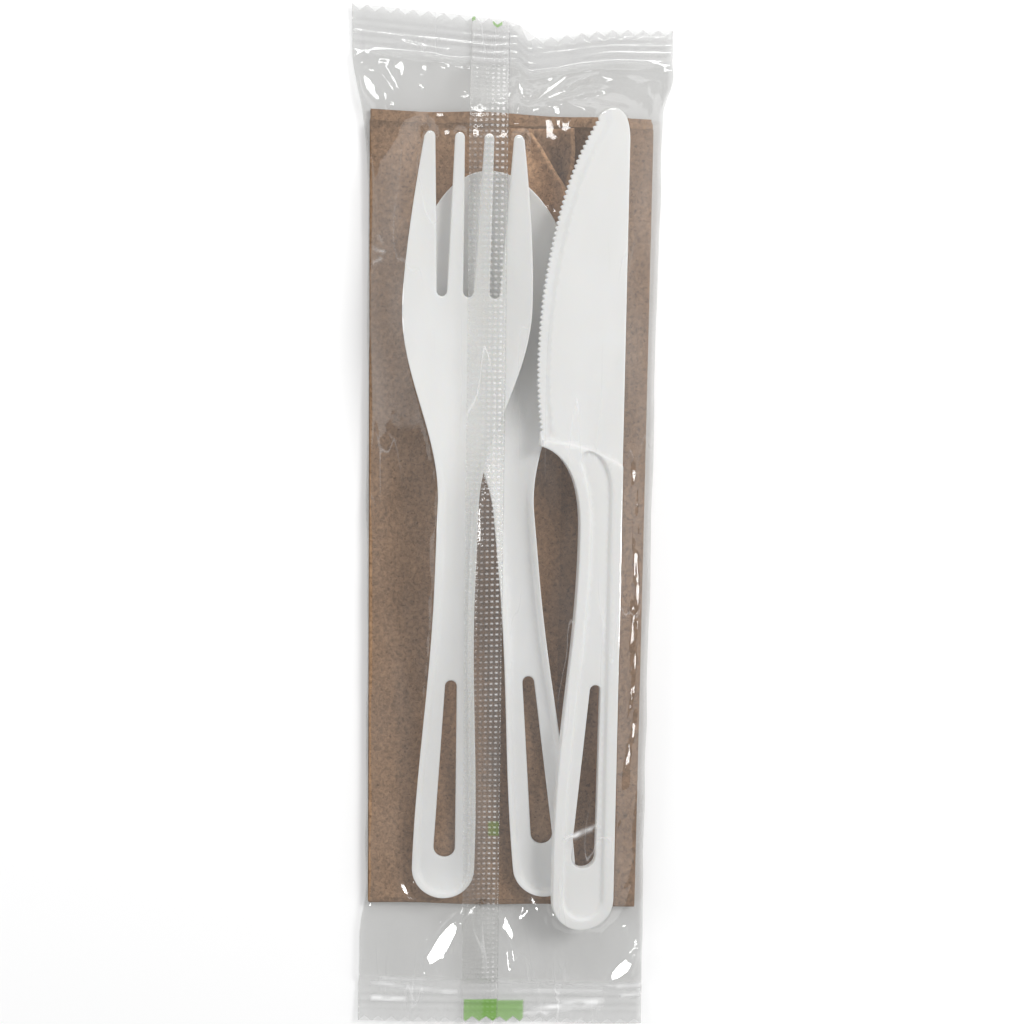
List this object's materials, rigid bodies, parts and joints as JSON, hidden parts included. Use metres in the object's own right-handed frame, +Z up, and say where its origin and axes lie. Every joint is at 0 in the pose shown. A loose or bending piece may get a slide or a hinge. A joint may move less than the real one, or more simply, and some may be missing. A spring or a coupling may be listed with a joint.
{
  "type": "cutlery pack",
  "caption": "Sealed clear film pack that holds a white spoon, fork and knife on a folded brown paper napkin, for takeaway meals.",
  "frame": {"origin": "on the surface under the middle of the pack's outline", "axes": "+Z up out of the surface, +Y along the pack towards the tines and the blade's tip, +X to the right seen from above"},
  "size_m": [0.064, 0.2126, 0.016],
  "materials": {
    "clear_film": "clear glossy film",
    "brown_paper": "soft unbleached tissue",
    "white_plastic": "satin moulded plastic"
  },
  "bodies": {
    "root": {"film_wrapper": "clear_film", "paper_napkin": "brown_paper", "spoon": "white_plastic", "fork": "white_plastic", "knife": "white_plastic"}
  },
  "joints": []
}
